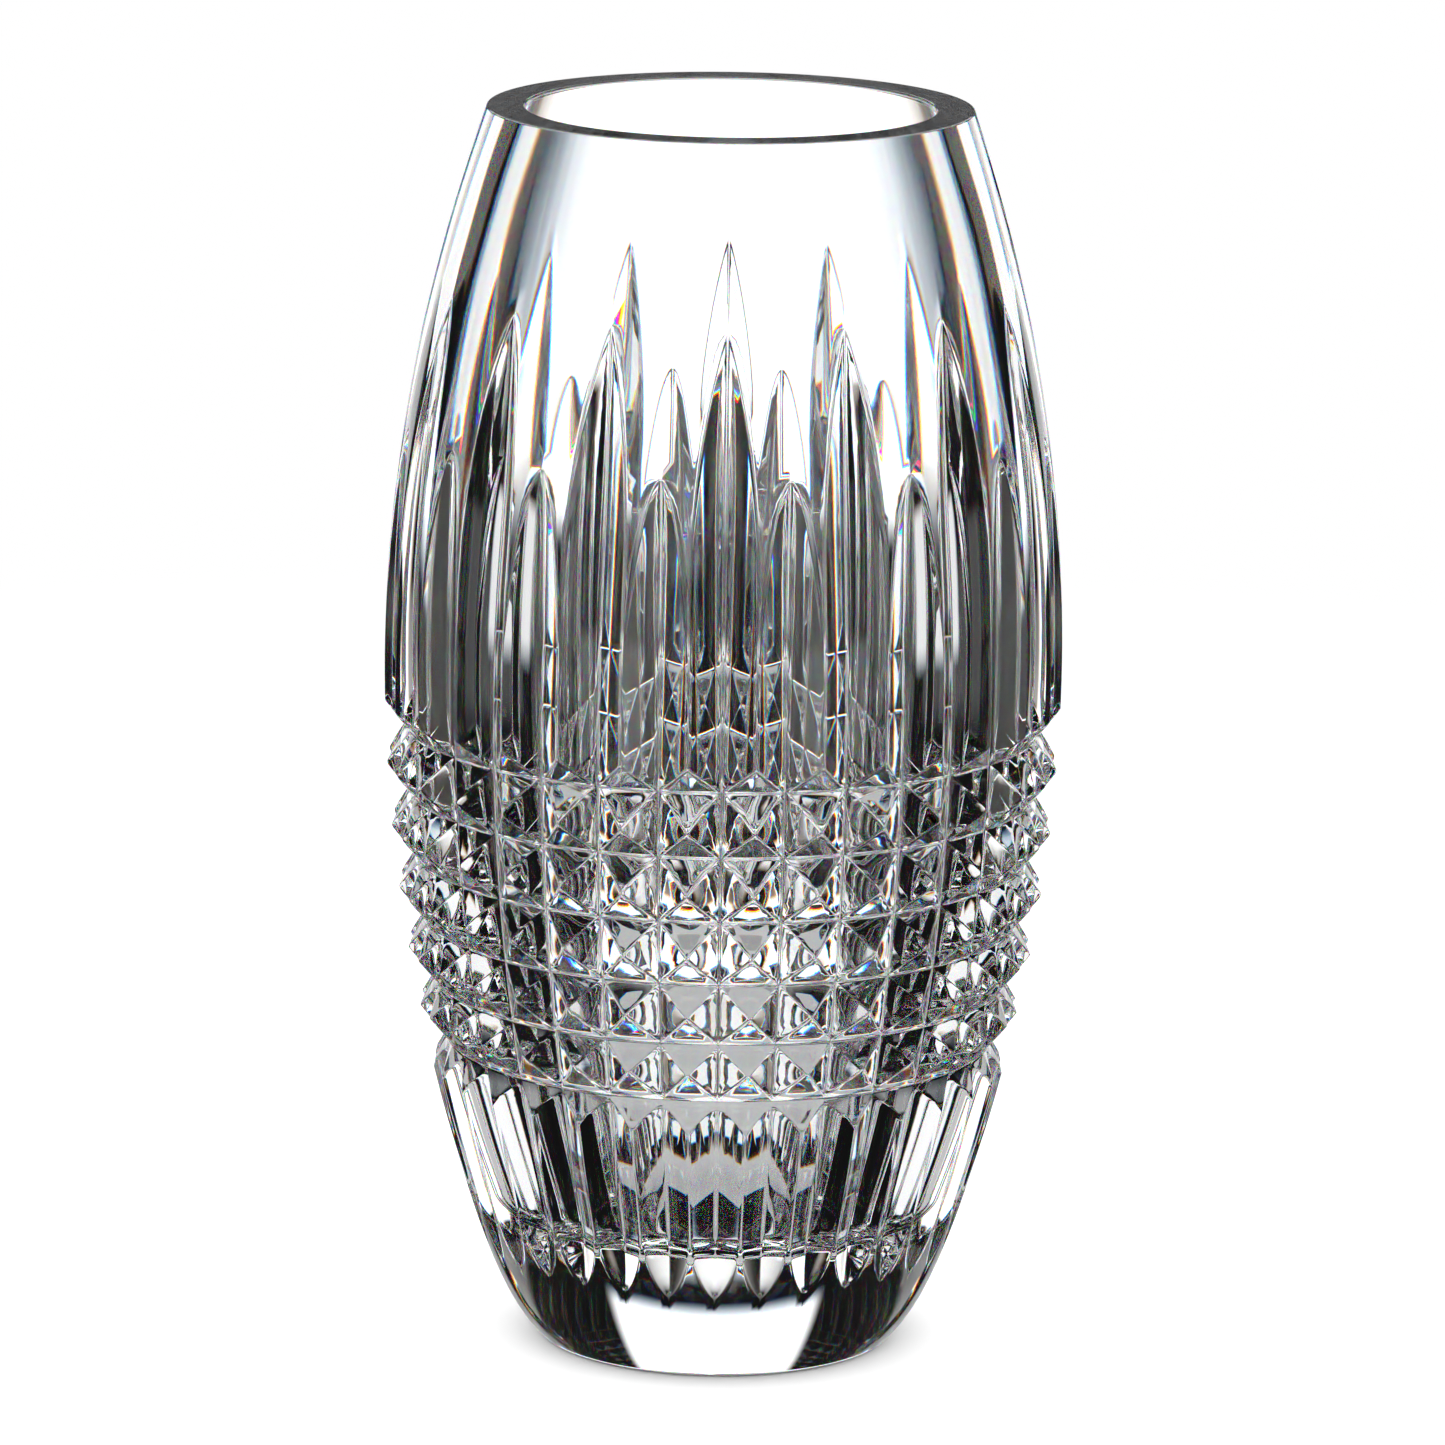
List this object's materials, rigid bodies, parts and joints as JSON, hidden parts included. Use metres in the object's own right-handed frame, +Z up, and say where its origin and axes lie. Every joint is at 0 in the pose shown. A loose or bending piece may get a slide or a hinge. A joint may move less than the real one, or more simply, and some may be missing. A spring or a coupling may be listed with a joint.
{
  "type": "cut crystal vase",
  "caption": "Barrel-shaped clear glass vase with long and short vee-cut flutes, a band of cut diamonds and a thick solid base.",
  "frame": {"origin": "centre of the flat base, on the surface that the vase stands on", "axes": "+Z up the axis of the barrel, from the base to the rim; -Y through the middle of a long cut"},
  "size_m": [0.1374, 0.1374, 0.254],
  "materials": {
    "crystal": "clear lead crystal, cut and polished all over"
  },
  "bodies": {
    "root": {"vase_body": "crystal"}
  },
  "joints": []
}
